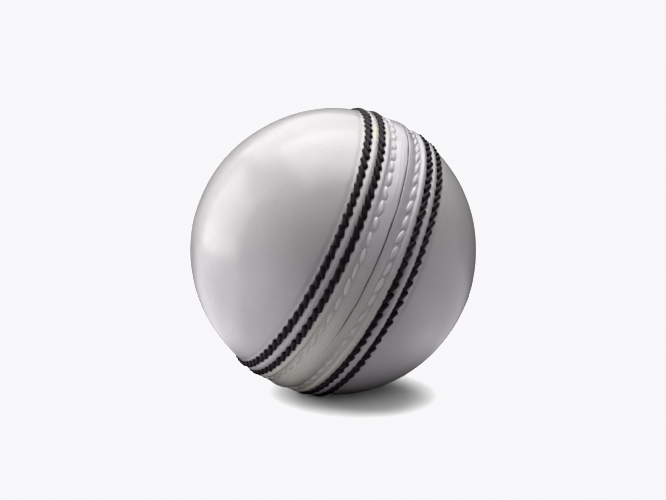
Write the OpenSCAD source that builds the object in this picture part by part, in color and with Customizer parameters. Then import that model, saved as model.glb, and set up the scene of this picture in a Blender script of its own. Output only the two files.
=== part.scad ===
// Cricket ball with a two-piece white leather cover and a six-row stitched seam.
// The ball is cut open here into every layer that it is made of: a cork nucleus, wound yarn
// and cork wafers in turn, a lining, two leather cups and the threads that close them.
//
// Frame: the origin is the ball's centre and +Z is up. The ball lies on the plane one ball
// radius below its centre. The seam's axis lies in the XZ plane and dips below +X.
// "Right" is the cup on the +X side and "left" is the cup on the -X side.

/* [Ball] */
// Radius of the leather away from the seam
ball_r = 36; // [35.7:0.1:36.5]
// Angle by which the seam's axis dips below level as the ball lies
seam_dip = 26.5; // [22:0.5:35]

/* [Cover] */
// Thickness of the leather cups
leather_t = 3.6; // [3:0.1:4]
// Thickness of the lining under the leather
lining_t = 0.8; // [0.7:0.1:1.2]
// Height of the lip beside the join above the leather
lip_h = 0.5; // [0.3:0.05:0.6]
// Height of the ridges between the rows of stitches
ridge_h = 0.35; // [0.2:0.05:0.45]
// Width of the crease along the join
crease_w = 0.3; // [0.2:0.05:0.5]

/* [Rows of stitches] */
// Angle from one row of stitches to the next, and from the join to the first row
row_step = 5.2; // [5:0.05:5.3]
// Radius of the channel that a row of stitches lies in
channel_r = 1.1; // [1:0.05:1.15]
// Depth of a channel's floor below the ball's radius
channel_depth = 0.55; // [0.45:0.05:0.65]

/* [Black machine stitches] */
// Number of stitches in each black row
black_count = 85; // [76:1:85]
// Length of one black stitch
black_len = 2.6; // [2.2:0.05:2.6]
// Thickness of the black thread
black_d = 1.1; // [0.9:0.05:1.1]
// Slant of a black stitch across its row
black_slant = 24; // [18:1:26]
// Thickness of the bobbin thread inside the lining
bobbin_d = 0.6; // [0.4:0.05:0.6]

/* [White hand stitches] */
// Number of stitches in each white row
white_count = 57; // [48:1:60]
// Length of one white stitch
white_len = 3.3; // [3:0.05:3.5]
// Thickness of the white thread
white_d = 0.9; // [0.7:0.05:1.1]
// Slant of a white stitch across its row
white_slant = 8; // [0:1:12]

/* [Core] */
// Radius of the moulded cork nucleus
nucleus_r = 12.5; // [10:0.5:15]
// Gap between neighbouring wafers in a layer of cork
wafer_gap = 0.6; // [0.3:0.1:1]

/* [Hidden] */

// Sides of a full circle on the ball, and on a thread or channel
ball_fn = 180;
thread_fn = 64;
// Radii of the cover's inner faces
leather_in_r = ball_r - leather_t;
lining_in_r = leather_in_r - lining_t;
// Angles of the three rows from the join: white, inner black, outer black
white_lat = row_step;
inner_lat = 2 * row_step;
outer_lat = 3 * row_step;
// Angles of the lip and of the ridges' middles from the join
lip_lat = 0.42 * row_step;
ridge_lats = [1.5 * row_step, 2.5 * row_step];
// Radii of the rounded lip and ridges, and of the channel floor
lip_r = 1.5;
ridge_r = 1.2;
floor_r = ball_r - channel_depth;
// The wound core is this many layers, yarn first and last with cork between
core_layers = 9;
layer_t = (lining_in_r - nucleus_r) / core_layers;
// Each layer of cork is turned by this much from the one inside it
wafer_turn = [35, 20, 50];

yarn_colour = "tan";
cork_colour = "peru";
leather_colour = "whitesmoke";
black_colour = "#1c1a20";
white_colour = "ivory";

// Tilts the seam's axis from +Z down past +X, as the ball lies.
module lay() {
    rotate([0, 90 + seam_dip, 0]) children();
}

// The same shape on the right of the join, or mirrored to the left.
module on_side(side) {
    if (side == "right") children();
    else mirror([0, 0, 1]) children();
}

// Places a flat profile's piece at an angle from the join and a distance from the centre.
module at_lat(lat, r) {
    translate([r * cos(lat), r * sin(lat)]) children();
}

// A quarter of a flat ring, which turns into half of a hollow ball.
module quarter_ring(outer, inner) {
    intersection() {
        difference() {
            circle(r = outer, $fn = ball_fn);
            circle(r = inner, $fn = ball_fn);
        }
        square(outer + 1);
    }
}

// A rounded ridge that stands proud of the leather by a height.
module ridge(lat, r, height) {
    at_lat(lat, ball_r + height - r) circle(r = r, $fn = thread_fn);
}

// The cut that a row of stitches lies in.
module channel(lat) {
    at_lat(lat, floor_r + channel_r) circle(r = channel_r, $fn = thread_fn);
}

// The section of one leather cup, from the join to the pole.
module cup_section() {
    intersection() {
        difference() {
            union() {
                quarter_ring(ball_r, leather_in_r);
                ridge(lip_lat, lip_r, lip_h);
                for (lat = ridge_lats) ridge(lat, ridge_r, ridge_h);
            }
            for (lat = [white_lat, inner_lat, outer_lat]) channel(lat);
            translate([ball_r + lip_h, 0]) rotate(45) square(crease_w, center = true);
        }
        square(2 * ball_r);
    }
}

module leather_cup(side) {
    color(leather_colour) lay() on_side(side) rotate_extrude($fn = ball_fn) cup_section();
}

// The section of a bobbin thread, lying on the outermost winding.
module bobbin_section(lat) {
    at_lat(lat, lining_in_r + bobbin_d / 2) circle(d = bobbin_d, $fn = thread_fn);
}

// The lining has a round cut over each bobbin thread, open to the winding.
module lining(side) {
    color("linen") lay() on_side(side) rotate_extrude($fn = ball_fn) difference() {
        quarter_ring(leather_in_r, lining_in_r);
        for (lat = [inner_lat, outer_lat]) {
            bobbin_section(lat);
            at_lat(lat, lining_in_r) rotate(lat) square(bobbin_d, center = true);
        }
    }
}

module bobbin_thread(side, lat) {
    color("dimgray") lay() on_side(side) rotate_extrude($fn = ball_fn) bobbin_section(lat);
}

// One stitch along Z, a rod with round ends.
module stitch(length, d) {
    rotate_extrude($fn = thread_fn) intersection() {
        union() {
            square([d, length - d], center = true);
            for (end = [-1, 1]) translate([0, end * (length - d) / 2]) circle(d = d, $fn = thread_fn);
        }
        translate([0, -length / 2]) square([d, length]);
    }
}

// How far a stitch rises off its channel's floor, so that its slanted ends rest on the walls.
function stitch_rise(length, d, slant) =
    let (play = channel_r - d / 2, end_offset = (length - d) / 2 * sin(slant))
    play - sqrt(pow(play, 2) - pow(end_offset, 2));

// A row of slanted stitches round the ball, each lying in the row's channel.
module stitch_row(side, lat, count, length, d, slant) {
    stitch_r = floor_r + d / 2 + stitch_rise(length, d, slant);
    lay() on_side(side) for (i = [0 : count - 1])
        rotate([0, -lat, 360 * i / count])
            translate([stitch_r, 0, 0])
                rotate([90 - slant, 0, 0])
                    stitch(length, d);
}

module black_stitches(side, lat) {
    color(black_colour) stitch_row(side, lat, black_count, black_len, black_d, black_slant);
}

module white_stitches(side) {
    color(white_colour) stitch_row(side, white_lat, white_count, white_len, white_d, white_slant);
}

// Outer radius of one layer of the core, counted from 1 outside the nucleus.
function layer_r(layer) = nucleus_r + layer * layer_t;

module hollow_ball(outer, inner) {
    difference() {
        sphere(r = outer, $fn = ball_fn);
        sphere(r = inner, $fn = ball_fn);
    }
}

// Winding 1 is the layer on the nucleus, and each next winding is two layers further out.
module yarn_winding(number) {
    layer = 2 * number - 1;
    color(yarn_colour) lay() hollow_ball(layer_r(layer), layer_r(layer - 1));
}

// Eight curved wafers with gaps between them.
module cork_layer(number) {
    layer = 2 * number;
    slab = 3 * ball_r;
    color(cork_colour) rotate(number * wafer_turn) difference() {
        hollow_ball(layer_r(layer), layer_r(layer - 1));
        cube([wafer_gap, slab, slab], center = true);
        cube([slab, wafer_gap, slab], center = true);
        cube([slab, slab, wafer_gap], center = true);
    }
}

module cork_nucleus() {
    color("saddlebrown") sphere(r = nucleus_r, $fn = ball_fn);
}

cork_nucleus();
yarn_winding(1);  // yarn_winding_1
cork_layer(1);  // cork_layer_1
yarn_winding(2);  // yarn_winding_2
cork_layer(2);  // cork_layer_2
yarn_winding(3);  // yarn_winding_3
cork_layer(3);  // cork_layer_3
yarn_winding(4);  // yarn_winding_4
cork_layer(4);  // cork_layer_4
yarn_winding(5);  // yarn_winding_5
lining("left");  // lining_left
lining("right");  // lining_right
leather_cup("left");  // leather_cup_left
leather_cup("right");  // leather_cup_right
black_stitches("left", outer_lat);  // black_stitches_outer_left
black_stitches("left", inner_lat);  // black_stitches_inner_left
black_stitches("right", inner_lat);  // black_stitches_inner_right
black_stitches("right", outer_lat);  // black_stitches_outer_right
bobbin_thread("left", outer_lat);  // bobbin_thread_outer_left
bobbin_thread("left", inner_lat);  // bobbin_thread_inner_left
bobbin_thread("right", inner_lat);  // bobbin_thread_inner_right
bobbin_thread("right", outer_lat);  // bobbin_thread_outer_right
white_stitches("left");  // white_stitches_left
white_stitches("right");  // white_stitches_right
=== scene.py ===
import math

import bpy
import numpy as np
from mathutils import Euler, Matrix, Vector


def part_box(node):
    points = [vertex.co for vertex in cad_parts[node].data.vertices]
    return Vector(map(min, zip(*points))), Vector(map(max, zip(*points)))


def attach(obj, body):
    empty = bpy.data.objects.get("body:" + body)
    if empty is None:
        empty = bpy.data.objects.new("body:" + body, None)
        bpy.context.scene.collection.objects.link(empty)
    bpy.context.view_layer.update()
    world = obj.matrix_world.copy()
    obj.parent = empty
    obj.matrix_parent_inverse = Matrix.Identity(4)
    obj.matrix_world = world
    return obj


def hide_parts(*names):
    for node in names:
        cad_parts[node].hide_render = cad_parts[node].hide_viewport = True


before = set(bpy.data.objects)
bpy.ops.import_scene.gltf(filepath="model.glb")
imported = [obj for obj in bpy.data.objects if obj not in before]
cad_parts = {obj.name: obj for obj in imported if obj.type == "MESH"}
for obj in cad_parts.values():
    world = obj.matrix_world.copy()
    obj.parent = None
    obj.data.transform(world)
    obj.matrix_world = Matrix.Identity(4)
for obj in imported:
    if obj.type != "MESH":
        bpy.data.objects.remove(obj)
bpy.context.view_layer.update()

# A white leather cricket ball: two lacquered cups, a six-row stitched seam and the wound core inside.
# Names ending in _MM or _mm are lengths in millimetres. Every other length is in metres.
# A place on the ball is given by its latitude, the angle from the join, and its longitude round the
# seam's axis, both in degrees. The right cup has positive latitudes. A side is 1 for the right cup
# and -1 for the left. Names ending in _W are half-widths of features, in degrees on the ball.

MM = 0.001


def lowest_mm(node_name):
    """Radius in millimetres of a round CAD node about the origin, from its lowest point."""
    return -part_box(node_name)[0].z / MM


# ---- Driving dimensions ----

BALL_R_MM = lowest_mm("leather_cup_right")
LINING_OUT_MM = lowest_mm("lining_right")
LINING_IN_MM = lowest_mm("yarn_winding_5")
NUCLEUS_R_MM = lowest_mm("cork_nucleus")
SEAM_DIP_DEG = 26.5
SEAM_TO_WORLD = Matrix.Rotation(math.radians(90 + SEAM_DIP_DEG), 3, "Y")
SEAM_AXIS = SEAM_TO_WORLD @ Vector((0, 0, 1))
DEG_PER_MM = math.degrees(1 / BALL_R_MM)

# Latitudes of the rows of stitches, and of the ridges between them.
ROW_STEP = 5.2
WHITE_LAT = ROW_STEP
INNER_LAT = 2 * ROW_STEP
OUTER_LAT = 3 * ROW_STEP
RIDGE_LATS = (1.5 * ROW_STEP, 2.5 * ROW_STEP)

# The relief of the seam band. Each feature has a height or depth, a half-width, and a latitude if it
# isn't on a row. The leather beside the join stands up in one flat hump, highest in the middle.
HUMP_MM = 0.36
HUMP_W = 3.4
LIP_MM = 0.14
LIP_W = 1.5
# The crease along the join. The join wanders about a line beside the seam's middle.
CREASE_MM = 0.80
CREASE_W = 0.19
JOIN_OFFSET = 0.35
JOIN_WANDER = 0.10
JOIN_W = 2.2
# Fine lines along the hump, where the leather was drawn together.
DRAWN_MM = 0.018
DRAWN_STEP = 1.15
DRAWN_LAT = 2.2
DRAWN_W = 1.9
# A valley between the join and the hand stitches, on the right cup only.
VALLEY_MM = 0.12
VALLEY_W = 0.9
VALLEY_LAT = 3.7
# Ridges between rows.
RIDGE_MM = 0.42
RIDGE_W = 1.35
# The channel under the hand stitches, the dent round each of them, and the fold outside them. The
# dent's width is a share of the stitch's own size.
WHITE_CHANNEL_MM = 0.10
WHITE_CHANNEL_W = 1.2
DENT_MM = 0.11
DENT_WIDTH = 0.2
FOLD_MM = 0.20
FOLD_W = 0.40
FOLD_LAT = 6.65
FOLD_WANDER = 0.12
# The channel under each black row, and the leather that swells into the notches beside it. The
# notches are shifted along the row, each way on its two sides, because the stitches slant.
BLACK_CHANNEL_MM = 0.80
BLACK_CHANNEL_W = 0.80
NOTCH_MM = 0.16
NOTCH_W = 0.45
NOTCH_FROM_ROW = 1.15
NOTCH_SHIFT = 1.3
# The shallow dip outside the outermost rows.
SHOULDER_MM = 0.14
SHOULDER_W = 1.1
SHOULDER_LAT = 17.9

# Black machine stitches. Each is three plies, twisted by some radians from its middle to its end.
BLACK_COUNT = 85
BLACK_LEN_MM = 3.15
BLACK_R_MM = 0.66
BLACK_SLANT_DEG = 24
BLACK_PLIES = 3
BLACK_TWIST = 0.9

# White hand stitches, pressed into ovals that lie a little below the plain ball.
WHITE_COUNT = 57
WHITE_LEN_MM = 4.0
WHITE_HALF_W_MM = 0.60
WHITE_HALF_H_MM = 0.48
WHITE_DEPTH_MM = 0.13
WHITE_SLANT_DEG = 8

# The ends of every stitch dip by this much, where its thread goes down through the leather.
END_DIP_MM = 0.16
# Longitude of the first stitch of each row by side: the white row, then the inner and outer black rows.
WHITE_FIRST_LON = {1: -1.3, -1: -1.9}
BLACK_FIRST_LON = {1: (-1.75, -0.4), -1: (-1.5, -0.25)}

# How unevenly the stitches are sewn. Spreads without a unit are shares of the mean, apart from the
# first two, which are the stitch's place in degrees.
LON_SPREAD = 0.12
LAT_SPREAD = 0.06
BLACK_LEN_SPREAD = 0.03
BLACK_SLANT_SPREAD_DEG = 2.0
BLACK_HEIGHT_SPREAD_MM = 0.03
BLACK_R_SPREAD = 0.03
WHITE_LEN_SPREAD = 0.05
WHITE_SLANT_SPREAD_DEG = 2.5
WHITE_WIDTH_SPREAD = 0.06

# Stretches of the seam, each with the longitude of its middle and its half-width.
# Low on the ball the hand stitches lie deeper, buried in lacquer.
BURIED_MM = 0.25
BURIED_LON = -46
BURIED_W = 24
# Over the top of the ball the lacquer leaves them as soft bumps.
COATED_MM = 0.15
COATED_LON = -165
COATED_W = 34
# Lacquer fills the join over this stretch.
FILLED_LON = -30
FILLED_W = 44

# The bobbin thread inside the lining has two plies.
BOBBIN_R_MM = 0.3
BOBBIN_TWISTS = 74

# The core is nine equal layers on the nucleus, yarn first and last with cork between.
CORE_LAYERS = 9
LAYER_MM = (LINING_IN_MM - NUCLEUS_R_MM) / CORE_LAYERS
# A layer of yarn is a packed shell with strands over it. The shell's outside lies this many strand
# radii below the layer's.
STRAND_R_MM = 0.55
STRANDS = 46
PACKED_DEPTH = 1.3
# Each layer of cork has gaps between its wafers and is turned by this much from the one inside it.
WAFER_GAP_MM = 0.6
WAFER_TURN_DEG = (35, 20, 50)
WAFER_PIT_MM = 0.12
NUCLEUS_PIT_MM = 0.15


def on_ball(lat, lon, r_mm):
    """World points in metres at latitudes, longitudes and distances from the centre."""
    a = np.radians(lat)
    b = np.radians(lon)
    local = np.stack([np.cos(a) * np.cos(b), np.cos(a) * np.sin(b), np.sin(a) * np.ones_like(b)], axis=-1)
    return (local * (np.asarray(r_mm) * MM)[..., None]) @ np.array(SEAM_TO_WORLD).T


def bell(x, middle, width):
    """A smooth hump, 1 at the middle."""
    return np.exp(-(((x - middle) / width) ** 2))


def flat_bell(x, width):
    """A hump with a flat top and steep sides, 1 at zero."""
    return np.exp(-((x / width) ** 4))


# ---- Mesh helpers ----


def mesh_object(name, points, faces, smooth=True):
    """A new mesh object from points and faces."""
    mesh = bpy.data.meshes.new(name)
    mesh.from_pydata(np.asarray(points).tolist(), [], faces)
    mesh.update()
    if smooth:
        mesh.polygons.foreach_set("use_smooth", [True] * len(mesh.polygons))
    obj = bpy.data.objects.new(name, mesh)
    bpy.context.scene.collection.objects.link(obj)
    return obj


def flipped(faces, flip):
    """The same faces, turned inside out if flip is true."""
    return [tuple(reversed(f)) for f in faces] if flip else faces


def join_rings(lower, upper, flip):
    """Faces between two rings of point numbers. The upper ring has as many points, or half as many."""
    n = len(lower)
    m = len(upper)
    faces = []
    if n == m:
        for i in range(n):
            j = (i + 1) % n
            faces.append((lower[i], lower[j], upper[j], upper[i]))
    else:
        for k in range(m):
            a, b, c = lower[2 * k], lower[2 * k + 1], lower[(2 * k + 2) % n]
            u, v = upper[k], upper[(k + 1) % m]
            faces.append((a, b, u))
            faces.append((b, v, u))
            faces.append((b, c, v))
    return flipped(faces, flip)


def cap_ring(ring, tip, flip):
    """Faces between a ring of point numbers and one point at the pole."""
    n = len(ring)
    return flipped([(ring[i], ring[(i + 1) % n], tip) for i in range(n)], flip)


def half_shell(name, side, steps, outer, inner):
    """A closed half-ball shell from the join to the pole.

    outer and inner each give the face's latitudes, the latitudes where its rings get half as many
    points, and a function that turns latitudes and longitudes into points.
    """
    points = []
    faces = []

    def grow(lats, halve_at, place_points, flip):
        first = None
        ring = None
        for lat in lats:
            count = steps >> sum(lat > h for h in halve_at)
            lon = np.arange(count) * 360 / count
            start = len(points)
            points.extend(place_points(np.full(count, float(lat)), lon).tolist())
            higher = list(range(start, start + count))
            if ring is None:
                first = higher
            else:
                faces.extend(join_rings(ring, higher, flip))
            ring = higher
        tip = len(points)
        points.append(place_points(np.array([90.0]), np.array([0.0]))[0].tolist())
        faces.extend(cap_ring(ring, tip, flip))
        return first

    outer_first = grow(*outer, side < 0)
    inner_first = grow(*inner, side > 0)
    faces.extend(join_rings(outer_first, inner_first, side > 0))
    return mesh_object(name, points, faces)


def add_ball_face(points, faces, rings, sectors, radius_mm, flip):
    """Adds the face of a plain ball, made of rings and sectors, to a mesh's points and faces."""
    start = len(points)
    lon = np.arange(sectors) * 360 / sectors
    for k in range(1, rings):
        lat = np.full(sectors, -90 + 180 * k / rings)
        points.extend(on_ball(lat, lon, np.full(sectors, radius_mm)).tolist())
    ring = [list(range(start + k * sectors, start + (k + 1) * sectors)) for k in range(rings - 1)]
    for lower, upper in zip(ring, ring[1:]):
        faces.extend(join_rings(lower, upper, flip))
    for pole, last, turned in ((-90, ring[0], not flip), (90, ring[-1], flip)):
        tip = len(points)
        points.append(on_ball(np.array([pole]), np.array([0]), np.array([radius_mm]))[0].tolist())
        faces.extend(cap_ring(last, tip, turned))


def add_rod(points, faces, path, radii, sides, closed=False, shape=None):
    """Adds a tube along a path on the ball, with a ring at each path point, to a mesh's points and faces.

    shape, if given, scales each ring's radius by path step and by turn. Turn 0 points across the
    path and a quarter turn points out of the ball.
    """
    start = len(points)
    if closed:
        tangent = np.roll(path, -1, axis=0) - np.roll(path, 1, axis=0)
    else:
        tangent = np.gradient(path, axis=0)
    tangent /= np.linalg.norm(tangent, axis=1, keepdims=True)
    up = path / np.linalg.norm(path, axis=1, keepdims=True)
    across = np.cross(tangent, up)
    across /= np.linalg.norm(across, axis=1, keepdims=True)
    up = np.cross(across, tangent)
    turn = np.arange(sides) * 2 * math.pi / sides
    reach = radii[:, None] * (np.ones((len(path), sides)) if shape is None else shape)
    ring = (
        path[:, None, :]
        + (reach * np.cos(turn))[:, :, None] * across[:, None, :]
        + (reach * np.sin(turn))[:, :, None] * up[:, None, :]
    )
    points.extend(ring.reshape(-1, 3).tolist())
    rings = len(path)
    for k in range(rings if closed else rings - 1):
        for i in range(sides):
            j = (i + 1) % sides
            a = start + k * sides
            b = start + (k + 1) % rings * sides
            faces.append((a + i, a + j, b + j, b + i))
    if not closed:
        faces.append(tuple(start + i for i in reversed(range(sides))))
        faces.append(tuple(start + (rings - 1) * sides + i for i in range(sides)))


# ---- Leather cups ----

# Points round a cup's first ring, and the latitudes past which rings have half as many.
CUP_STEPS = 880
CUP_HALVE_AT = (38, 60, 74, 82)
CUP_INNER_HALVE_AT = (1, 4, 7)
# Latitudes where the rings change: the crease ends, the hand stitches, the band's end and the last ring.
CREASE_END = 0.35
WHITE_SPAN = (3.8, 6.7)
BAND_END = 19.0
LAST_RING = 88.5
# Steps in latitude from ring to ring. Past the band they grow towards the pole.
CREASE_RING_STEP = 0.1
WHITE_RING_STEP = 0.16
BAND_RING_STEP = 0.26
POLE_RING_STEP = 2.4
RING_STEP_GROWTH = 1.16
SHORTEST_LAST_STEP = 0.5
# Waves of unevenness over the wound core: wavelength in mm, height in mm, and how many cross.
LUMPS = ((34, 0.077, 7), (17, 0.042, 9), (8.5, 0.0168, 12))


def cup_latitudes():
    """Latitudes of a cup's rings, close together at the join and the hand stitches and wide at the pole."""
    lats = [0.0]
    while lats[-1] < BAND_END:
        lat = lats[-1]
        if lat < CREASE_END:
            step = CREASE_RING_STEP
        elif WHITE_SPAN[0] < lat < WHITE_SPAN[1]:
            step = WHITE_RING_STEP
        else:
            step = BAND_RING_STEP
        lats.append(lat + step)
    step = BAND_RING_STEP
    while lats[-1] < LAST_RING - SHORTEST_LAST_STEP:
        step = min(step * RING_STEP_GROWTH, POLE_RING_STEP)
        lats.append(min(lats[-1] + step, LAST_RING))
    return lats


def waviness(lon, seed, waves):
    """A smooth wandering value between about -1 and 1 round the ball, from a few whole waves."""
    rng = np.random.default_rng(seed)
    b = np.radians(lon)
    total = np.zeros_like(b)
    for n in waves:
        total = total + np.sin(n * b + rng.uniform(0, 2 * math.pi)) / len(waves) ** 0.5
    return total


def lumps_mm(points):
    """Slow unevenness of the leather over the wound core, from a few crossing waves."""
    rng = np.random.default_rng(11)
    total = np.zeros(len(points))
    for wavelength_mm, height_mm, count in LUMPS:
        for _ in range(count):
            direction = rng.normal(size=3)
            direction /= np.linalg.norm(direction)
            phase = rng.uniform(0, 2 * math.pi)
            along_mm = points @ direction / MM
            total += height_mm / count ** 0.5 * np.sin(2 * math.pi * along_mm / wavelength_mm + phase)
    return total


def stitch_wave(lon, count):
    """1 at the middle of each stitch of a row and -1 between stitches."""
    return np.cos(np.radians(lon) * count)


def around(lon, middle, width):
    """1 over a stretch of the seam and 0 away from there."""
    return flat_bell((lon - middle + 180) % 360 - 180, width)


def from_white_stitch(lat, lon, side):
    """Distance from the middle of the nearest hand stitch, 1 at the stitch's outline."""
    pitch = 360 / WHITE_COUNT
    along = (lon - WHITE_FIRST_LON[side] + pitch / 2) % pitch - pitch / 2
    across = lat - WHITE_LAT + along * math.tan(math.radians(WHITE_SLANT_DEG))
    return np.hypot(along / (WHITE_LEN_MM / 2 * DEG_PER_MM), across / (WHITE_HALF_W_MM * DEG_PER_MM))


def join_relief_mm(lat, lon, side):
    """Height of the hump beside the join, with its drawn lines, its valley and the join's crease."""
    hump_mm = HUMP_MM * flat_bell(lat, HUMP_W) + LIP_MM * bell(lat, 0, LIP_W)
    wander = 2 * waviness(lon, seed=44 + side, waves=(3, 5, 8, 13))
    lines = np.sin(2 * math.pi * lat / DRAWN_STEP + wander)
    hump_mm = hump_mm + DRAWN_MM * lines * flat_bell(lat - DRAWN_LAT, DRAWN_W)
    if side > 0:
        hump_mm = hump_mm - VALLEY_MM * bell(lat, VALLEY_LAT, VALLEY_W)
    uneven = 0.75 + 0.25 * waviness(lon, seed=21, waves=(2, 3, 5, 9))
    unfilled = 1 - 0.95 * around(lon, FILLED_LON, FILLED_W)
    return hump_mm - CREASE_MM * uneven * unfilled * bell(lat, 0, CREASE_W)


def white_row_relief_mm(lat, lon, side):
    """Depth of the hand stitches' channel, of the dents round them and of the fold outside them."""
    channel_mm = WHITE_CHANNEL_MM * bell(lat, WHITE_LAT, WHITE_CHANNEL_W)
    wander = FOLD_WANDER * waviness(lon, seed=33, waves=(9, 14, 23))
    fold_mm = FOLD_MM * bell(lat + wander, FOLD_LAT, FOLD_W)
    shallower = 1 - 0.7 * around(lon, BURIED_LON, BURIED_W)
    dents_mm = DENT_MM * shallower * bell(from_white_stitch(lat, lon, side), 1, DENT_WIDTH)
    return channel_mm + fold_mm + dents_mm


def black_row_relief_mm(lat, lon, row_lat, first_lon):
    """Depth of a black row's channel, less the leather that swells into the notches beside the row."""
    channel_mm = BLACK_CHANNEL_MM * bell(lat, row_lat, BLACK_CHANNEL_W)
    between_stitches = first_lon + 180 / BLACK_COUNT
    notch_lon = lon - between_stitches + NOTCH_SHIFT * np.sign(row_lat - lat)
    notches = bell(np.abs(lat - row_lat), NOTCH_FROM_ROW, NOTCH_W)
    return channel_mm - NOTCH_MM * notches * np.maximum(stitch_wave(notch_lon, BLACK_COUNT), 0)


def band_mm(lat, lon, side):
    """Height of the seam band's leather above the plain ball."""
    height_mm = join_relief_mm(lat, lon, side) - white_row_relief_mm(lat, lon, side)
    for middle in RIDGE_LATS:
        height_mm = height_mm + RIDGE_MM * bell(lat, middle, RIDGE_W)
    for row_lat, first_lon in zip((INNER_LAT, OUTER_LAT), BLACK_FIRST_LON[side]):
        height_mm = height_mm - black_row_relief_mm(lat, lon, row_lat, first_lon)
    return height_mm - SHOULDER_MM * bell(lat, SHOULDER_LAT, SHOULDER_W)


def leather_cup(name, side):
    """One leather cup, with the seam band's relief on its outer face."""

    def outer_face(lat, lon):
        plain = on_ball(side * lat, lon, np.full(len(lat), BALL_R_MM))
        r_mm = BALL_R_MM + band_mm(lat, lon, side) + lumps_mm(plain)
        wander = JOIN_WANDER * waviness(lon, seed=5, waves=(7, 11, 19, 31))
        return on_ball(side * lat + (JOIN_OFFSET + wander) * bell(lat, 0, JOIN_W), lon, r_mm)

    def inner_face(lat, lon):
        return on_ball(side * lat, lon, np.full(len(lat), LINING_OUT_MM))

    inner_lats = [*range(0, 12, 3), *range(12, 24, 6), *range(24, 81, 8), 86]
    return half_shell(
        name, side, CUP_STEPS,
        (cup_latitudes(), CUP_HALVE_AT, outer_face),
        (inner_lats, CUP_INNER_HALVE_AT, inner_face),
    )


# ---- Stitches ----


def along_stitch(count, end):
    """Places along a stitch, from -end to end, closer together towards its ends."""
    return end * np.sin(np.linspace(-1, 1, count) * math.pi / 2)


def taper(t, shoulder, tip):
    """How full a stitch is at places t along it, from 1 in the middle to 0 at -1 and 1.

    A larger shoulder keeps it full for longer, and a smaller tip makes its ends rounder.
    """
    return (1 - np.abs(t) ** shoulder) ** tip


def black_row(name, side, lat, first_lon, seed):
    """One row of black stitches: slanted, blunt, three-ply stitches that overlap like a rope."""
    rng = np.random.default_rng(seed)
    points = []
    faces = []
    sides = 24
    turn = np.arange(sides) * 2 * math.pi / sides
    t = along_stitch(count=15, end=0.985)
    blunt = taper(t, shoulder=9, tip=0.45)
    twist = side * BLACK_TWIST * t
    shrink = math.cos(math.radians(lat))
    for i in range(BLACK_COUNT):
        middle_lon = first_lon + 360 / BLACK_COUNT * i + rng.normal() * LON_SPREAD
        length = BLACK_LEN_MM * DEG_PER_MM * (1 + rng.normal() * BLACK_LEN_SPREAD)
        slant = math.radians(BLACK_SLANT_DEG + rng.normal() * BLACK_SLANT_SPREAD_DEG)
        middle_lat = lat + rng.normal() * LAT_SPREAD
        height_mm = rng.normal() * BLACK_HEIGHT_SPREAD_MM
        phase = rng.uniform(0, 2 * math.pi / BLACK_PLIES)
        radius_mm = BLACK_R_MM * (1 + rng.normal() * BLACK_R_SPREAD)
        along = t * length / 2
        r_mm = BALL_R_MM + height_mm - END_DIP_MM * np.abs(t) ** 3
        lats = side * (middle_lat - along * math.sin(slant))
        path = on_ball(lats, middle_lon + along * math.cos(slant) / shrink, r_mm)
        # The plies twist round each other, with a groove between neighbours.
        ply = np.abs(np.cos(BLACK_PLIES / 2 * (turn[None, :] - twist[:, None] - phase)))
        shape = 0.86 + 0.16 * ply ** 0.6
        add_rod(points, faces, path, radius_mm * MM * blunt, sides, shape=shape)
    return mesh_object(name, points, faces)


def white_row(name, side, first_lon, seed):
    """One row of hand stitches: flat pointed ovals, deeper in the lacquer over two stretches."""
    rng = np.random.default_rng(seed)
    points = []
    faces = []
    sides = 16
    turn = np.arange(sides) * 2 * math.pi / sides
    t = along_stitch(count=17, end=0.995)
    pointed = taper(t, shoulder=2.2, tip=0.75)
    flat = WHITE_HALF_H_MM / WHITE_HALF_W_MM
    oval = flat / np.sqrt((flat * np.cos(turn)) ** 2 + np.sin(turn) ** 2)
    # A shallow groove between the thread's two plies crosses the stitch's top.
    groove = 1 - 0.16 * bell(turn[None, :], math.pi / 2 + 0.35 * t[:, None], 0.22)
    for i in range(WHITE_COUNT):
        middle_lon = first_lon + 360 / WHITE_COUNT * i + rng.normal() * LON_SPREAD
        length = WHITE_LEN_MM * DEG_PER_MM * (1 + rng.normal() * WHITE_LEN_SPREAD)
        slant = math.radians(WHITE_SLANT_DEG + rng.normal() * WHITE_SLANT_SPREAD_DEG)
        middle_lat = WHITE_LAT + rng.normal() * LAT_SPREAD
        half_w_mm = WHITE_HALF_W_MM * (1 + rng.normal() * WHITE_WIDTH_SPREAD)
        along = t * length / 2
        depth_mm = WHITE_DEPTH_MM
        depth_mm += BURIED_MM * around(middle_lon, BURIED_LON, BURIED_W)
        depth_mm += COATED_MM * around(middle_lon, COATED_LON, COATED_W)
        r_mm = BALL_R_MM - depth_mm - END_DIP_MM * np.abs(t) ** 3
        lats = side * (middle_lat - along * math.sin(slant))
        path = on_ball(lats, middle_lon + along * math.cos(slant), r_mm)
        add_rod(points, faces, path, half_w_mm * MM * pointed, sides, shape=oval[None, :] * groove)
    return mesh_object(name, points, faces)


def bobbin_ring(name, side, lat, seed):
    """The two-ply bobbin thread that locks a black row, lying on the outermost winding."""
    rng = np.random.default_rng(seed)
    points = []
    faces = []
    steps = 760
    lon = np.arange(steps) * 360 / steps
    ply_mm = BOBBIN_R_MM / 2
    for start in (0, math.pi):
        turn = np.radians(lon) * BOBBIN_TWISTS + start + rng.uniform(0, 0.3)
        r_mm = LINING_IN_MM + BOBBIN_R_MM + ply_mm * np.sin(turn)
        path = on_ball(side * (lat + ply_mm * np.cos(turn) * DEG_PER_MM), lon, r_mm)
        # A ply is a little thinner than its room, so that the two don't quite touch.
        add_rod(points, faces, path, np.full(steps, 0.98 * ply_mm * MM), 6, closed=True)
    return mesh_object(name, points, faces)


# ---- Lining and core ----

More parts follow.
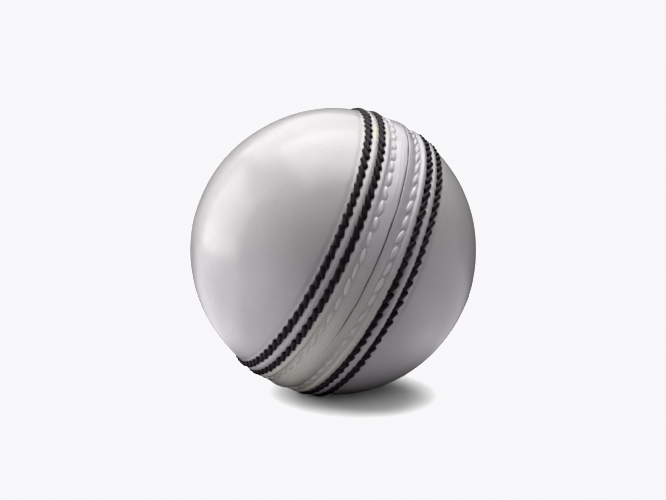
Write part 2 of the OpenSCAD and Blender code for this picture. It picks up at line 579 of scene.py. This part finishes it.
# Points round the lining's first ring, and the latitudes past which rings have half as many.
LINING_STEPS = 192
LINING_HALVE_AT = (50, 75)
# The lining's outer face is pressed in a little, unevenly, and its inner face has a groove per bobbin.
QUILT_MM = 0.03
BOBBIN_GROOVE_W = 0.8
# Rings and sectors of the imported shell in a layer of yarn.
PACKED_RINGS = 24
PACKED_SECTORS = 48
# Triangles along an octant's edge in a wafer and in the nucleus.
WAFER_GRID = 26
NUCLEUS_GRID = 30
OCTANTS = [(x, y, z) for x in (1, -1) for y in (1, -1) for z in (1, -1)]


def lining(name, side):
    """One half of the lining, a thin shell with a groove over each bobbin thread."""

    def outer_face(lat, lon):
        quilt_mm = QUILT_MM * (1 + waviness(lon + lat, seed=8, waves=(13, 17, 29)) * np.cos(np.radians(lat)))
        return on_ball(side * lat, lon, LINING_OUT_MM - quilt_mm)

    def inner_face(lat, lon):
        groove_mm = np.zeros(len(lat))
        for middle in (INNER_LAT, OUTER_LAT):
            groove_mm += 2 * BOBBIN_R_MM * flat_bell(lat - middle, BOBBIN_GROOVE_W)
        return on_ball(side * lat, lon, LINING_IN_MM + groove_mm)

    coarse = list(range(22, 88, 3))
    return half_shell(
        name, side, LINING_STEPS,
        ([0, 4, 8, 12, 16, 19] + coarse, LINING_HALVE_AT, outer_face),
        (list(np.arange(0, BAND_END, 0.4)) + coarse, LINING_HALVE_AT, inner_face),
    )


def yarn_winding(name, outer_mm, inner_mm, seed):
    """A layer of wound yarn: a thin packed shell with strands of yarn wound over it in great circles."""
    rng = np.random.default_rng(seed)
    points = []
    faces = []
    packed_mm = outer_mm - PACKED_DEPTH * STRAND_R_MM
    for radius_mm, flip in ((packed_mm, False), (inner_mm, True)):
        add_ball_face(points, faces, PACKED_RINGS, PACKED_SECTORS, radius_mm, flip)
    angles = np.linspace(0, 2 * math.pi, 72, endpoint=False)
    for i in range(STRANDS):
        axis = rng.normal(size=3)
        axis /= np.linalg.norm(axis)
        first = np.cross(axis, rng.normal(size=3))
        first /= np.linalg.norm(first)
        second = np.cross(axis, first)
        # Strands lie at three depths, so that they cross under and over each other.
        depth_mm = STRAND_R_MM * (1 + 0.2 * (i % 3))
        circle = np.cos(angles)[:, None] * first + np.sin(angles)[:, None] * second
        path = circle * (outer_mm - depth_mm) * MM
        add_rod(points, faces, path, np.full(len(path), STRAND_R_MM * MM), 6, closed=True)
    return mesh_object(name, points, faces)


def octant_grid(n):
    """Directions over the octant of positive x, y and z, their triangles, and the rim's order."""
    index = {}
    directions = []
    for i in range(n + 1):
        for j in range(n + 1 - i):
            index[i, j] = len(directions)
            d = np.array([i, j, n - i - j], float)
            directions.append(d / np.linalg.norm(d))
    triangles = []
    for i in range(n):
        for j in range(n - i):
            triangles.append((index[i, j], index[i + 1, j], index[i, j + 1]))
            if i + j < n - 1:
                triangles.append((index[i + 1, j], index[i + 1, j + 1], index[i, j + 1]))
    rim = [index[i, 0] for i in range(n)]
    rim += [index[n - k, k] for k in range(n)]
    rim += [index[0, n - k] for k in range(n)]
    return np.array(directions), triangles, rim


def is_mirrored(signs):
    """True if flipping the axes by these signs turns a shape inside out."""
    return signs[0] * signs[1] * signs[2] < 0


def cork_layer(name, number, outer_mm, inner_mm, seed):
    """Eight curved cork wafers with gaps between them, pitted like ground and pressed cork."""
    rng = np.random.default_rng(seed)
    directions, triangles, rim = octant_grid(WAFER_GRID)
    turn = np.array(Euler([math.radians(a * number) for a in WAFER_TURN_DEG]).to_matrix())
    corner = np.full(3, WAFER_GAP_MM / 2)
    points = []
    faces = []
    n = len(directions)
    for signs in OCTANTS:
        start = len(points)
        for radius_mm, pit_mm in ((outer_mm, -WAFER_PIT_MM), (inner_mm, WAFER_PIT_MM)):
            pits_mm = rng.uniform(0, 1, n) ** 2 * pit_mm
            pits_mm[rim] = 0.4 * pit_mm
            # From the wafer's corner beside the gaps, how far to the pitted ball in each direction.
            along = directions @ corner
            stretch = np.sqrt(along ** 2 - corner @ corner + (radius_mm + pits_mm) ** 2) - along
            where = (corner + directions * stretch[:, None]) * np.array(signs) @ turn.T
            points.extend((where * MM).tolist())
        wafer = [tuple(start + v for v in tri) for tri in triangles]
        wafer += [tuple(start + n + v for v in reversed(tri)) for tri in triangles]
        for a, b in zip(rim, rim[1:] + rim[:1]):
            wafer.append((start + b, start + a, start + n + a, start + n + b))
        faces += flipped(wafer, is_mirrored(signs))
    return mesh_object(name, points, faces)


def cork_nucleus(name, radius_mm, seed):
    """The moulded ball of ground cork at the centre, pitted all over."""
    rng = np.random.default_rng(seed)
    directions, triangles, _ = octant_grid(NUCLEUS_GRID)
    points = []
    faces = []
    seen = {}
    for signs in OCTANTS:
        numbers = []
        for d in directions * np.array(signs):
            # Adding zero turns -0.0 into 0.0, so that neighbouring octants share their edges' points.
            key = tuple(np.round(d, 6) + 0.0)
            if key not in seen:
                seen[key] = len(points)
                points.append(d * (radius_mm - NUCLEUS_PIT_MM * rng.uniform(0, 1) ** 2) * MM)
            numbers.append(seen[key])
        faces += flipped([tuple(numbers[v] for v in tri) for tri in triangles], is_mirrored(signs))
    return mesh_object(name, points, faces)


# ---- Materials ----

LEATHER_DARK = (0.655, 0.622, 0.642)
LEATHER_LIGHT = (0.725, 0.692, 0.712)
MOTTLE = (0.56, 0.55, 0.545)
# The seam band's tint, its stain where it is handled, the patch, dust and flecks on it, and the painted shade
# along the join's crease.
LILAC = (0.695, 0.665, 0.73)
STAIN = (0.77, 0.75, 0.655)
YELLOWED = (0.76, 0.75, 0.60)
CREASE_SHADE_COLOUR = (0.12, 0.10, 0.12)
# Painted shade: the dark colour laid along the join's crease.
DUST = (0.30, 0.28, 0.25)
FLECK = (0.95, 0.93, 0.74)
# Longitudes in the middle of the stain, the yellowed patch and the cracked lacquer.
STAIN_LON = -50
PATCH_LON = -151
CRACKED_LON = -34
# The two shades of each thread's fibres.
BLACK_SHADES = ((0.007, 0.004, 0.008), (0.024, 0.014, 0.024))
BOBBIN_SHADES = ((0.035, 0.03, 0.035), (0.09, 0.08, 0.09))
WHITE_SHADES = ((0.92, 0.90, 0.93), (0.98, 0.96, 0.99))
# Longitudes round which lacquer tints the hand stitches, each with its colour.
TINTED = ((-42, (0.78, 0.75, 0.68)), (-165, (0.72, 0.69, 0.73)))


def sine_of(lat):
    """How far along the seam's axis a latitude lies, as a share of the radius."""
    return math.sin(math.radians(lat))


def new_material(name):
    """A material, its node tree, its shader, and the object coordinates that its textures use."""
    material = bpy.data.materials.new(name)
    material.use_nodes = True
    tree = material.node_tree
    coords = node(tree, "ShaderNodeTexCoord")
    return material, tree, tree.nodes["Principled BSDF"], coords.outputs["Object"]


def node(tree, kind, **settings):
    """A shader node with its inputs and properties set by name."""
    n = tree.nodes.new(kind)
    for key, value in settings.items():
        name = key.replace("_", " ")
        if name in n.inputs:
            n.inputs[name].default_value = value
        else:
            setattr(n, key, value)
    return n


def noise(tree, coords, scale, detail):
    """A soft noise between 0 and 1, with features about 1/scale metres wide."""
    n = node(tree, "ShaderNodeTexNoise", Scale=scale, Detail=detail)
    tree.links.new(coords, n.inputs["Vector"])
    return n.outputs["Fac"]


def cell_edges(tree, coords, scale):
    """Distance from the edges of random cells that are about 1/scale metres wide."""
    n = node(tree, "ShaderNodeTexVoronoi", Scale=scale, feature="DISTANCE_TO_EDGE")
    tree.links.new(coords, n.inputs["Vector"])
    return n.outputs["Distance"]


def remap(tree, value, source, target=(0, 1), kind="LINEAR"):
    """The value stretched from one range to another, and held at the ends."""
    n = node(tree, "ShaderNodeMapRange", interpolation_type=kind)
    for name, end in zip(("From Min", "From Max", "To Min", "To Max"), (*source, *target)):
        n.inputs[name].default_value = end
    tree.links.new(value, n.inputs["Value"])
    return n.outputs["Result"]


def maths(tree, operation, first, second=0):
    """A sum, product or other operation on two values, each a socket or a number."""
    n = node(tree, "ShaderNodeMath", operation=operation)
    for value, socket in zip((first, second), n.inputs):
        if isinstance(value, (int, float)):
            socket.default_value = value
        else:
            tree.links.new(value, socket)
    return n.outputs["Value"]


def product(tree, first, *others):
    """All the values multiplied together."""
    for other in others:
        first = maths(tree, "MULTIPLY", first, other)
    return first


def distance_from(tree, value, middle):
    """How far a value is from a number, whichever side of it."""
    return maths(tree, "ABSOLUTE", maths(tree, "SUBTRACT", value, middle))


def mix_colour(tree, amount, first, second):
    """A blend from the first colour to the second. Each is a socket or a tuple."""
    n = node(tree, "ShaderNodeMix", data_type="RGBA")
    tree.links.new(amount, n.inputs[0])
    for value, socket in ((first, n.inputs[6]), (second, n.inputs[7])):
        if isinstance(value, tuple):
            socket.default_value = (*value, 1)
        else:
            tree.links.new(value, socket)
    return n.outputs[2]


def mix_shaders(tree, amount, first, second):
    """A blend from the first shader to the second."""
    n = node(tree, "ShaderNodeMixShader")
    for value, socket in zip((amount, first, second), n.inputs):
        tree.links.new(value, socket)
    return n.outputs["Shader"]


def bump(tree, height, strength, distance_mm, below=None):
    """A bump from a height, on top of another bump if one is given."""
    n = node(tree, "ShaderNodeBump", Strength=strength, Distance=distance_mm * MM)
    tree.links.new(height, n.inputs["Height"])
    if below is not None:
        tree.links.new(below, n.inputs["Normal"])
    return n.outputs["Normal"]


def along_axis(tree, coords, axis):
    """How far a point's direction from the centre lies along an axis, from -1 to 1."""
    unit = node(tree, "ShaderNodeVectorMath", operation="NORMALIZE")
    tree.links.new(coords, unit.inputs[0])
    dot = node(tree, "ShaderNodeVectorMath", operation="DOT_PRODUCT")
    tree.links.new(unit.outputs["Vector"], dot.inputs[0])
    dot.inputs[1].default_value = axis
    return dot.outputs["Value"]


def near(tree, coords, way, angles, target=(0, 1), kind="SMOOTHSTEP"):
    """A value that fades from one target to the other between two angles, in degrees, from a direction."""
    cosines = [math.cos(math.radians(angle)) for angle in angles]
    return remap(tree, along_axis(tree, coords, way), cosines, target, kind)


def seam_way(lon, lat=0.0):
    """The direction from the ball's centre to a place on the seam."""
    place = on_ball(np.array(lat), np.array(lon), np.array(BALL_R_MM))
    return Vector(place.tolist()).normalized()


def tint_band(tree, coords, sine, clouds, colour):
    """Tints the leather between the inner black rows, and stains it lower down where it is handled."""
    edge = (sine_of(8.5), sine_of(10.5))
    in_band = remap(tree, distance_from(tree, sine, 0), edge, (1, 0))
    colour = mix_colour(tree, product(tree, in_band, 0.7), colour, LILAC)
    handled = near(tree, coords, seam_way(STAIN_LON), (56.6, 14.1))
    stain = product(tree, in_band, handled, remap(tree, clouds, (0.2, 0.6), (0.5, 1)))
    return mix_colour(tree, stain, colour, STAIN)


def add_patch(tree, coords, colour):
    """A yellowed patch between the left cup's black rows near the top."""
    patch = near(tree, coords, seam_way(PATCH_LON, -RIDGE_LATS[1]), (6.5, 0))
    return mix_colour(tree, patch, colour, YELLOWED)


def add_painted_crease_shade(tree, coords, sine, colour):
    """Painted shade: a dark line along the join's crease, except where lacquer fills it."""
    from_join = distance_from(tree, sine, sine_of(JOIN_OFFSET))
    crease_shade_line = remap(tree, from_join, (sine_of(0.08), sine_of(0.28)), (1, 0))
    unfilled = near(tree, coords, seam_way(FILLED_LON), (45.6, 34.9), (0.85, 0), "LINEAR")
    return mix_colour(tree, product(tree, crease_shade_line, unfilled), colour, CREASE_SHADE_COLOUR)


def add_specks(tree, coords, sine, colour):
    """Specks of dust along the hand stitches, and pale flecks on the left where lacquer has cracked."""
    from_row = distance_from(tree, distance_from(tree, sine, 0), sine_of(WHITE_LAT))
    near_row = remap(tree, from_row, (0.01, 0.035), (1, 0))
    dust = remap(tree, noise(tree, coords, 2600, 1), (0.66, 0.72), (0, 0.5))
    colour = mix_colour(tree, product(tree, dust, near_row), colour, DUST)
    cracked = near(tree, coords, seam_way(CRACKED_LON, -WHITE_LAT), (30.7, 18.2), kind="LINEAR")
    along_row = remap(tree, distance_from(tree, sine, sine_of(-WHITE_LAT)), (0.008, 0.02), (1, 0))
    flecks = remap(tree, noise(tree, coords, 1200, 2), (0.53, 0.58))
    return mix_colour(tree, product(tree, flecks, cracked, along_row), colour, FLECK)


def leather_material():
    """White lacquered leather: soft clouds of colour, fine grain, faint scuffs, a grimy seam band and painted
    shade along the join.
    """
    material, tree, bsdf, coords = new_material("white_lacquered_leather")
    link = tree.links.new
    clouds = noise(tree, coords, 60, 3)
    mottle = noise(tree, coords, 700, 3)
    colour = mix_colour(tree, remap(tree, clouds, (0.3, 0.7)), LEATHER_DARK, LEATHER_LIGHT)
    colour = mix_colour(tree, remap(tree, mottle, (0.45, 0.8), (0, 0.25)), colour, MOTTLE)
    sine = along_axis(tree, coords, SEAM_AXIS)
    colour = tint_band(tree, coords, sine, clouds, colour)
    colour = add_patch(tree, coords, colour)
    colour = add_painted_crease_shade(tree, coords, sine, colour)
    colour = add_specks(tree, coords, sine, colour)
    link(colour, bsdf.inputs["Base Color"])
    # The lacquer follows only the slow unevenness. The leather under it has creases and grain too.
    lacquer = bump(tree, noise(tree, coords, 130, 2), strength=0.35, distance_mm=0.35)
    creases = bump(tree, noise(tree, coords, 300, 4), 0.22, 0.10, below=lacquer)
    grain = bump(tree, remap(tree, cell_edges(tree, coords, 1500), (0, 0.25)), 0.18, 0.03, below=creases)
    link(grain, bsdf.inputs["Normal"])
    link(lacquer, bsdf.inputs["Coat Normal"])
    scuffs = remap(tree, noise(tree, coords, 210, 5), (0.55, 0.75), (0, 0.12))
    roughness = maths(tree, "ADD", remap(tree, mottle, (0.3, 0.7), (0.42, 0.54)), scuffs)
    link(roughness, bsdf.inputs["Roughness"])
    bsdf.inputs["Coat Weight"].default_value = 1.0
    bsdf.inputs["Coat Roughness"].default_value = 0.19
    return material


def thread_material(name, colours, roughness, specular, lacquer=0.0, tinted=()):
    """Waxed thread: fine fibres in two shades, with a fuzzy bump, patchy wax and perhaps lacquer over it.

    tinted gives longitudes round which the lacquer tints the thread, each with its colour.
    """
    material, tree, bsdf, coords = new_material(name)
    link = tree.links.new
    fibre = noise(tree, coords, 8000, 2)
    wax = noise(tree, coords, 500, 2)
    shade = mix_colour(tree, remap(tree, fibre, (0.35, 0.7)), *colours)
    for lon, tint in tinted:
        patchy = remap(tree, noise(tree, coords, 900, 3), (0.35, 0.6), (0.6, 1))
        amount = product(tree, near(tree, coords, seam_way(lon), (44, 20)), patchy)
        shade = mix_colour(tree, amount, shade, tint)
    link(shade, bsdf.inputs["Base Color"])
    link(bump(tree, fibre, strength=0.5, distance_mm=0.04), bsdf.inputs["Normal"])
    link(remap(tree, wax, (0.3, 0.7), (roughness - 0.08, roughness + 0.12)), bsdf.inputs["Roughness"])
    bsdf.inputs["Specular IOR Level"].default_value = specular
    bsdf.inputs["Coat Weight"].default_value = lacquer
    bsdf.inputs["Coat Roughness"].default_value = 0.15
    return material


def yarn_material():
    """Undyed wool yarn, with fine fibres, darker patches and a woolly sheen."""
    material, tree, bsdf, coords = new_material("undyed_wool_yarn")
    link = tree.links.new
    fibre = noise(tree, coords, 4200, 3)
    patch = noise(tree, coords, 240, 2)
    colour = mix_colour(tree, remap(tree, fibre, (0.3, 0.7)), (0.42, 0.31, 0.20), (0.66, 0.54, 0.38))
    colour = mix_colour(tree, remap(tree, patch, (0.5, 0.8), (0, 0.6)), colour, (0.36, 0.25, 0.15))
    link(colour, bsdf.inputs["Base Color"])
    link(bump(tree, fibre, strength=0.6, distance_mm=0.08), bsdf.inputs["Normal"])
    link(remap(tree, fibre, (0.3, 0.7), (0.75, 0.95)), bsdf.inputs["Roughness"])
    bsdf.inputs["Sheen Weight"].default_value = 0.3
    return material


def cork_material(name, light, dark, grain_mm):
    """Ground and pressed cork: granules of several browns with dark binder between them."""
    material, tree, bsdf, coords = new_material(name)
    link = tree.links.new
    scale = 1 / (grain_mm * MM)
    granules = node(tree, "ShaderNodeTexVoronoi", Scale=scale)
    link(coords, granules.inputs["Vector"])
    shade = node(tree, "ShaderNodeSeparateColor")
    link(granules.outputs["Color"], shade.inputs["Color"])
    edge = cell_edges(tree, coords, scale)
    binder = remap(tree, edge, (0, 0.08), (0.8, 0))
    colour = mix_colour(tree, shade.outputs["Red"], light, dark)
    colour = mix_colour(tree, binder, colour, (0.06, 0.03, 0.015))
    link(colour, bsdf.inputs["Base Color"])
    link(bump(tree, remap(tree, edge, (0, 0.15)), strength=0.6, distance_mm=0.15), bsdf.inputs["Normal"])
    link(remap(tree, noise(tree, coords, 900, 3), (0.3, 0.7), (0.7, 0.95)), bsdf.inputs["Roughness"])
    return material


def lining_material():
    """Glued cotton lining: a plain weave of pale threads, with patches darkened by glue."""
    material, tree, bsdf, coords = new_material("glued_cotton_lining")
    link = tree.links.new
    height = None
    for direction in ("X", "Y", "Z"):
        wave = node(tree, "ShaderNodeTexWave", Scale=180.0, Distortion=1.5, bands_direction=direction)
        link(coords, wave.inputs["Vector"])
        threads = wave.outputs["Fac"]
        height = threads if height is None else maths(tree, "MAXIMUM", height, threads)
    glue = noise(tree, coords, 120, 3)
    colour = mix_colour(tree, remap(tree, height, (0.5, 1)), (0.45, 0.40, 0.31), (0.72, 0.67, 0.56))
    colour = mix_colour(tree, remap(tree, glue, (0.5, 0.7), (0, 0.7)), colour, (0.38, 0.30, 0.19))
    link(colour, bsdf.inputs["Base Color"])
    link(bump(tree, height, strength=0.5, distance_mm=0.1), bsdf.inputs["Normal"])
    link(remap(tree, glue, (0.4, 0.7), (0.9, 0.5)), bsdf.inputs["Roughness"])
    return material


# ---- The ball ----


def place(piece, node_name, slot, material):
    """Gives a piece its material and lets it stand for a CAD node."""
    piece.data.materials.append(material)
    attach(piece, "root")
    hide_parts(node_name)


leather = leather_material()
black_thread = thread_material("black_waxed_thread", BLACK_SHADES, roughness=0.42, specular=0.18)
bobbin_thread = thread_material("black_bobbin_thread", BOBBIN_SHADES, roughness=0.6, specular=0.4)
white_thread = thread_material(
    "white_waxed_thread", WHITE_SHADES, roughness=0.34, specular=0.5, lacquer=1.0, tinted=TINTED
)
yarn = yarn_material()
wafer_cork = cork_material("pressed_wafer_cork", (0.52, 0.34, 0.19), (0.30, 0.17, 0.08), grain_mm=1.6)
nucleus_cork = cork_material("moulded_nucleus_cork", (0.36, 0.20, 0.10), (0.17, 0.08, 0.04), grain_mm=1.1)
cotton = lining_material()

place(cork_nucleus("moulded_nucleus", NUCLEUS_R_MM, seed=3), "cork_nucleus", "nucleus", nucleus_cork)
inside_mm = NUCLEUS_R_MM
for layer in range(1, CORE_LAYERS + 1):
    number = (layer + 1) // 2
    if layer % 2:
        outside_mm = lowest_mm(f"yarn_winding_{number}")
        winding = yarn_winding(f"wound_yarn_{number}", outside_mm, inside_mm, seed=100 + number)
        place(winding, f"yarn_winding_{number}", "yarn", yarn)
    else:
        outside_mm = inside_mm + LAYER_MM
        wafers = cork_layer(f"cork_wafers_{number}", number, outside_mm, inside_mm, seed=200 + number)
        place(wafers, f"cork_layer_{number}", "cork", wafer_cork)
    inside_mm = outside_mm

for side, word in ((1, "right"), (-1, "left")):
    place(lining(f"cotton_lining_{word}", side), f"lining_{word}", "lining", cotton)
    place(leather_cup(f"cup_{word}", side), f"leather_cup_{word}", "white_leather", leather)
    hand = white_row(f"hand_stitches_{word}", side, WHITE_FIRST_LON[side], seed=40 + side)
    place(hand, f"white_stitches_{word}", "white_thread", white_thread)
    for row, lat, first_lon in zip(("inner", "outer"), (INNER_LAT, OUTER_LAT), BLACK_FIRST_LON[side]):
        machine = black_row(f"machine_stitches_{row}_{word}", side, lat, first_lon, seed=60 + side + int(lat))
        place(machine, f"black_stitches_{row}_{word}", "black_thread", black_thread)
        bobbin = bobbin_ring(f"bobbin_ring_{row}_{word}", side, lat, seed=80 + side + int(lat))
        place(bobbin, f"bobbin_thread_{row}_{word}", "bobbin_thread", bobbin_thread)

# ---- Stage, lights and camera ----

CAMERA_AZIMUTH_DEG = -12.35
CAMERA_ELEVATION_DEG = 10.0
CAMERA_DISTANCE = 8 * BALL_R_MM * MM
LENS_MM = 61.44
SENSOR_MM = 36
SHIFT_X = -0.0003
SHIFT_Y = 0.0018

# The backdrop's colour in the picture, and its brightness before the tone curve holds it there.
PALE = (0.935, 0.925, 0.945)
BACKDROP = 1.2
WARM = (0.985, 1.0, 0.965)
PINK = (1.0, 0.94, 1.06)
GLOW_COLOUR = (1.0, 0.97, 1.015)

# Softboxes: (name, azimuth, elevation, width and height, radiance, colour), all at one distance.
LIGHT_DISTANCE = 0.6
SOFTBOXES = (
    ("overhead_panel", 0, 90, (0.63, 0.63), 2.25, WARM),
    ("back_softbox", 180, 68, (1.0, 0.9), 1.19, (1, 1, 1)),
    ("left_softbox", -100, 14, (0.5, 0.5), 1.75, WARM),
    ("left_spill", -110, 25, (0.7, 0.6), 0.59, WARM),
    ("right_fill", 38, 32, (0.30, 0.30), 0.30, PINK),
)
# Lights that only the floor sees, in the same form. They cast the soft contact shadow.
FLOOR_LIGHTS = (
    ("floor_light_back", -126, 63, (1.43, 1.43), 7.3, (1, 1, 1)),
    ("floor_light_front", 0, 39, (1.02, 1.02), 1.65, (1, 1, 1)),
)
# Soft glows of pale surfaces round the ball: (azimuth, elevation, half its width in degrees, brightness).
GLOWS = (
    (-100, -18, 28, 1.02),
    (-60, 0, 22, 0.29),
    (-45, -32, 30, 0.72),
    (0, -35, 28, 0.11),
    (45, -32, 28, 0.33),
    (90, -30, 32, 0.60),
)

FLOOR_HALF_SIZE = 4.0
FLOOR_COLOUR = (0.8, 0.8, 0.8, 1)
# Distances from the ball's centre between which the floor fades into the backdrop's tone, and
# between which its glow fades in outside the contact shadow.
BACKDROP_FADE = (0.10, 0.18)
SHADOW_FADE = (0.0405, 0.0570)


def towards(azimuth, elevation):
    """A unit vector from the ball. Azimuth 0 is towards the camera and 90 is to the camera's right."""
    a = math.radians(azimuth + CAMERA_AZIMUTH_DEG)
    e = math.radians(elevation)
    return Vector((math.sin(a) * math.cos(e), -math.cos(a) * math.cos(e), math.sin(e)))


def add_camera():
    """The camera, a little above the ball and looking at its middle."""
    data = bpy.data.cameras.new("camera")
    data.lens = LENS_MM
    data.sensor_width = SENSOR_MM
    data.shift_x = SHIFT_X
    data.shift_y = SHIFT_Y
    data.clip_start = 0.01
    camera = bpy.data.objects.new("camera", data)
    bpy.context.scene.collection.objects.link(camera)
    back = towards(0, CAMERA_ELEVATION_DEG)
    camera.location = back * CAMERA_DISTANCE
    camera.rotation_euler = back.to_track_quat("Z", "Y").to_euler()
    bpy.context.scene.camera = camera


def area_light(name, azimuth, elevation, size, radiance, colour):
    """A soft rectangular light aimed at the ball."""
    data = bpy.data.lights.new(name, "AREA")
    data.shape = "RECTANGLE"
    data.size, data.size_y = size
    data.energy = radiance * math.pi * size[0] * size[1]
    data.color = colour
    light = bpy.data.objects.new(name, data)
    bpy.context.scene.collection.objects.link(light)
    way = towards(azimuth, elevation)
    light.location = way * LIGHT_DISTANCE
    light.rotation_euler = way.to_track_quat("Z", "Y").to_euler()
    return light


def glow_strength(tree, coords):
    """How brightly the surroundings glow in the direction of a point seen from the ball's centre."""
    total = None
    for azimuth, elevation, spread, brightness in GLOWS:
        fade = (1.35 * spread, 0.65 * spread)
        glow = near(tree, coords, towards(azimuth, elevation), fade, (0, brightness))
        total = glow if total is None else maths(tree, "ADD", total, glow)
    return total


def floor_material():
    """The camera sees a lit floor that fades into the backdrop. The ball sees the floor's glow."""
    material, tree, bsdf, coords = new_material("pale_floor")
    link = tree.links.new
    bsdf.inputs["Base Color"].default_value = FLOOR_COLOUR
    bsdf.inputs["Roughness"].default_value = 0.9
    bsdf.inputs["Specular IOR Level"].default_value = 0.0
    length = node(tree, "ShaderNodeVectorMath", operation="LENGTH")
    link(coords, length.inputs[0])
    from_ball = length.outputs["Value"]
    backdrop = node(tree, "ShaderNodeEmission", Strength=BACKDROP)
    far = remap(tree, from_ball, BACKDROP_FADE, kind="SMOOTHSTEP")
    seen = mix_shaders(tree, far, bsdf.outputs["BSDF"], backdrop.outputs["Emission"])
    unshaded = remap(tree, from_ball, SHADOW_FADE, kind="SMOOTHSTEP")
    glow = node(tree, "ShaderNodeEmission", Color=(*GLOW_COLOUR, 1))
    link(product(tree, glow_strength(tree, coords), unshaded), glow.inputs["Strength"])
    path = node(tree, "ShaderNodeLightPath")
    surface = mix_shaders(tree, path.outputs["Is Camera Ray"], glow.outputs["Emission"], seen)
    link(surface, tree.nodes["Material Output"].inputs["Surface"])
    return material


def add_floor():
    """A pale floor under the ball, lit past white by its own lights so that only the shadow shows."""
    size = FLOOR_HALF_SIZE
    z = -BALL_R_MM * MM
    points = [(-size, -size, z), (size, -size, z), (size, size, z), (-size, size, z)]
    floor = mesh_object("floor", points, [(0, 1, 2, 3)], smooth=False)
    floor.data.materials.append(floor_material())
    only_floor = bpy.data.collections.new("floor_only")
    only_floor.objects.link(floor)
    for settings in FLOOR_LIGHTS:
        area_light(*settings).light_linking.receiver_collection = only_floor


def add_world():
    """Pale where the camera sees it. The ball sees only the soft glows round it."""
    world = bpy.data.worlds.new("studio")
    bpy.context.scene.world = world
    world.use_nodes = True
    tree = world.node_tree
    coords = node(tree, "ShaderNodeTexCoord").outputs["Generated"]
    glow = tree.nodes["Background"]
    glow.inputs["Color"].default_value = (*GLOW_COLOUR, 1)
    tree.links.new(glow_strength(tree, coords), glow.inputs["Strength"])
    backdrop = node(tree, "ShaderNodeBackground", Color=(1, 1, 1, 1), Strength=BACKDROP)
    path = node(tree, "ShaderNodeLightPath")
    seen = path.outputs["Is Camera Ray"]
    surface = mix_shaders(tree, seen, glow.outputs["Background"], backdrop.outputs["Background"])
    tree.links.new(surface, tree.nodes["World Output"].inputs["Surface"])


def add_tone():
    """Plain colours, held at the pale backdrop's level so that overexposed floor and backdrop match."""
    view = bpy.context.scene.view_settings
    view.view_transform = "Standard"
    view.use_curve_mapping = True
    view.curve_mapping.extend = "HORIZONTAL"
    for channel, level in enumerate(PALE):
        curve = view.curve_mapping.curves[channel]
        curve.points[-1].location = (1, level)
        curve.points.new(level, level)
        for point in curve.points:
            point.handle_type = "VECTOR"
    view.curve_mapping.update()


add_camera()
add_floor()
add_world()
for settings in SOFTBOXES:
    area_light(*settings)
add_tone()
